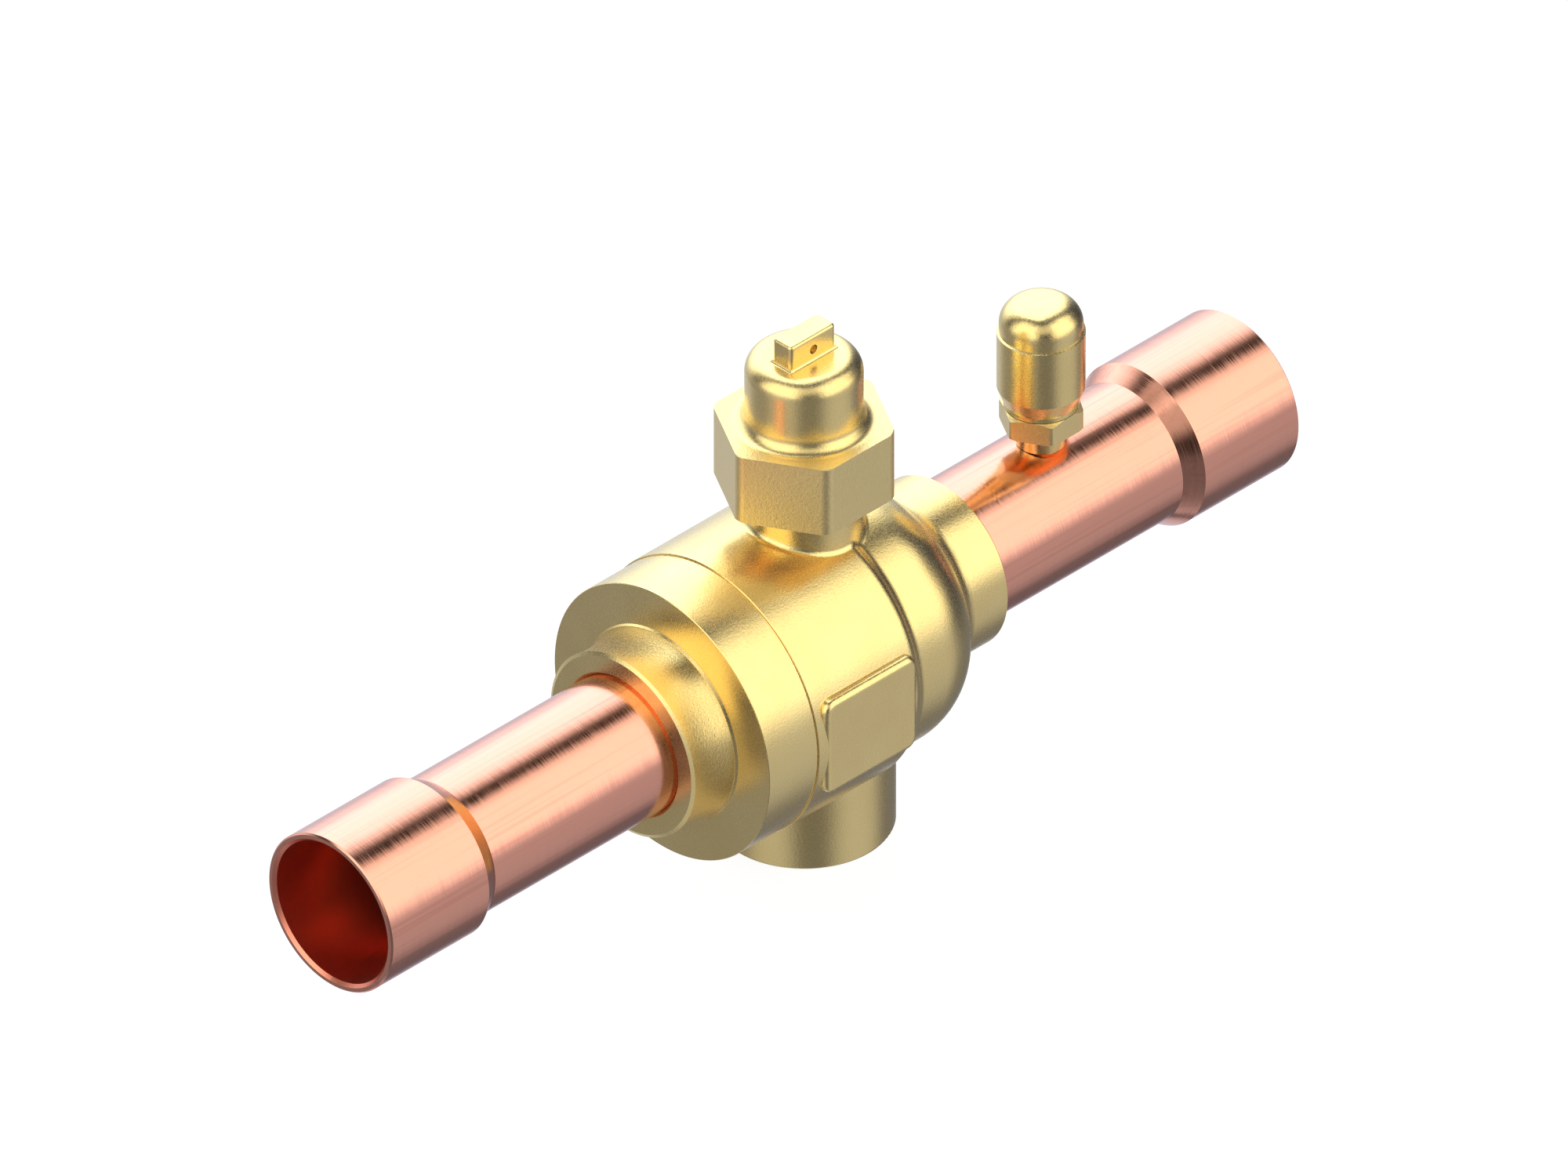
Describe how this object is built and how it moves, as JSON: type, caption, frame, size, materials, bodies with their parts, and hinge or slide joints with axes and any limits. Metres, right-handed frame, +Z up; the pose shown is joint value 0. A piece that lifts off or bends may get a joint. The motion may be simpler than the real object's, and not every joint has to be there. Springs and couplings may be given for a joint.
{
  "type": "shut-off ball valve",
  "caption": "Brass shut-off ball valve for refrigerant lines, with swaged copper tube sockets, a screwed stem cap with a sealing tab and a capped service port.",
  "frame": {"origin": "centre of the bottom face of the mounting boss, on the stem axis", "axes": "+X along the flow towards the tube with the service port, +Z up the stem, -Y out of the flat pad on the side of the body"},
  "size_m": [0.2336, 0.0561, 0.1085],
  "materials": {
    "forged_brass": "satin, fine blasted grain",
    "turned_brass": "satin, turned",
    "copper_tube": "brushed copper",
    "chromed_ball": "polished",
    "stem_steel": "turned",
    "seat_plastic": "smooth white",
    "rubber": "matte"
  },
  "bodies": {
    "valve": {"valve_body": "forged_brass", "end_connector": "forged_brass", "front_tube": "copper_tube", "rear_tube": "copper_tube", "joint_seal_ring": "rubber", "front_seat": "seat_plastic", "rear_seat": "seat_plastic", "front_seat_ring": "rubber", "rear_seat_ring": "rubber", "thrust_washer": "seat_plastic", "port_fitting": "turned_brass", "core_body": "turned_brass", "core_seal": "seat_plastic", "core_spring": "stem_steel"},
    "ball_and_stem": {"ball": "chromed_ball", "stem": "stem_steel", "lower_stem_ring": "rubber", "upper_stem_ring": "rubber", "stop_pin": "stem_steel"},
    "cap_seal": {"cap_gasket": "seat_plastic"},
    "cap": {"seal_cap": "turned_brass"},
    "core_plunger": {"core_pin": "turned_brass", "core_disc": "rubber"},
    "service_seal": {"port_cap_gasket": "seat_plastic"},
    "service_cap": {"port_cap": "turned_brass"}
  },
  "joints": [
    {"name": "stem_turn", "type": "hinge", "parent": "valve", "child": "ball_and_stem", "pos_m": [0, 0, 0.0395], "axis": [0, 0, -1], "range_deg": [0, 90]},
    {"name": "cap_lift", "type": "slide", "parent": "valve", "child": "cap_seal", "axis": [0, 0, 1], "range_m": [0, 0.0098]},
    {"name": "cap_turn", "type": "hinge", "parent": "cap_seal", "child": "cap", "pos_m": [0, 0, 0.0844], "axis": [0, 0, 1], "range_deg": [0, 2340]},
    {"name": "service_cap_lift", "type": "slide", "parent": "valve", "child": "service_seal", "axis": [0, 0, 1], "range_m": [0, 0.01275]},
    {"name": "service_cap_turn", "type": "hinge", "parent": "service_seal", "child": "service_cap", "pos_m": [0.0611, 0, 0.0769], "axis": [0, 0, 1], "range_deg": [0, 3600]},
    {"name": "core_press", "type": "slide", "parent": "valve", "child": "core_plunger", "axis": [0, 0, -1], "range_m": [0, 0.001], "stiffness_N_per_m": 1500, "springref_m": -0.002, "deforming": ["core_spring"]}
  ],
  "couplings": [
    {"joint": "cap_lift", "follows": "cap_turn", "m_per_rad": 0.00023873},
    {"joint": "service_cap_lift", "follows": "service_cap_turn", "m_per_rad": 0.00020213}
  ]
}
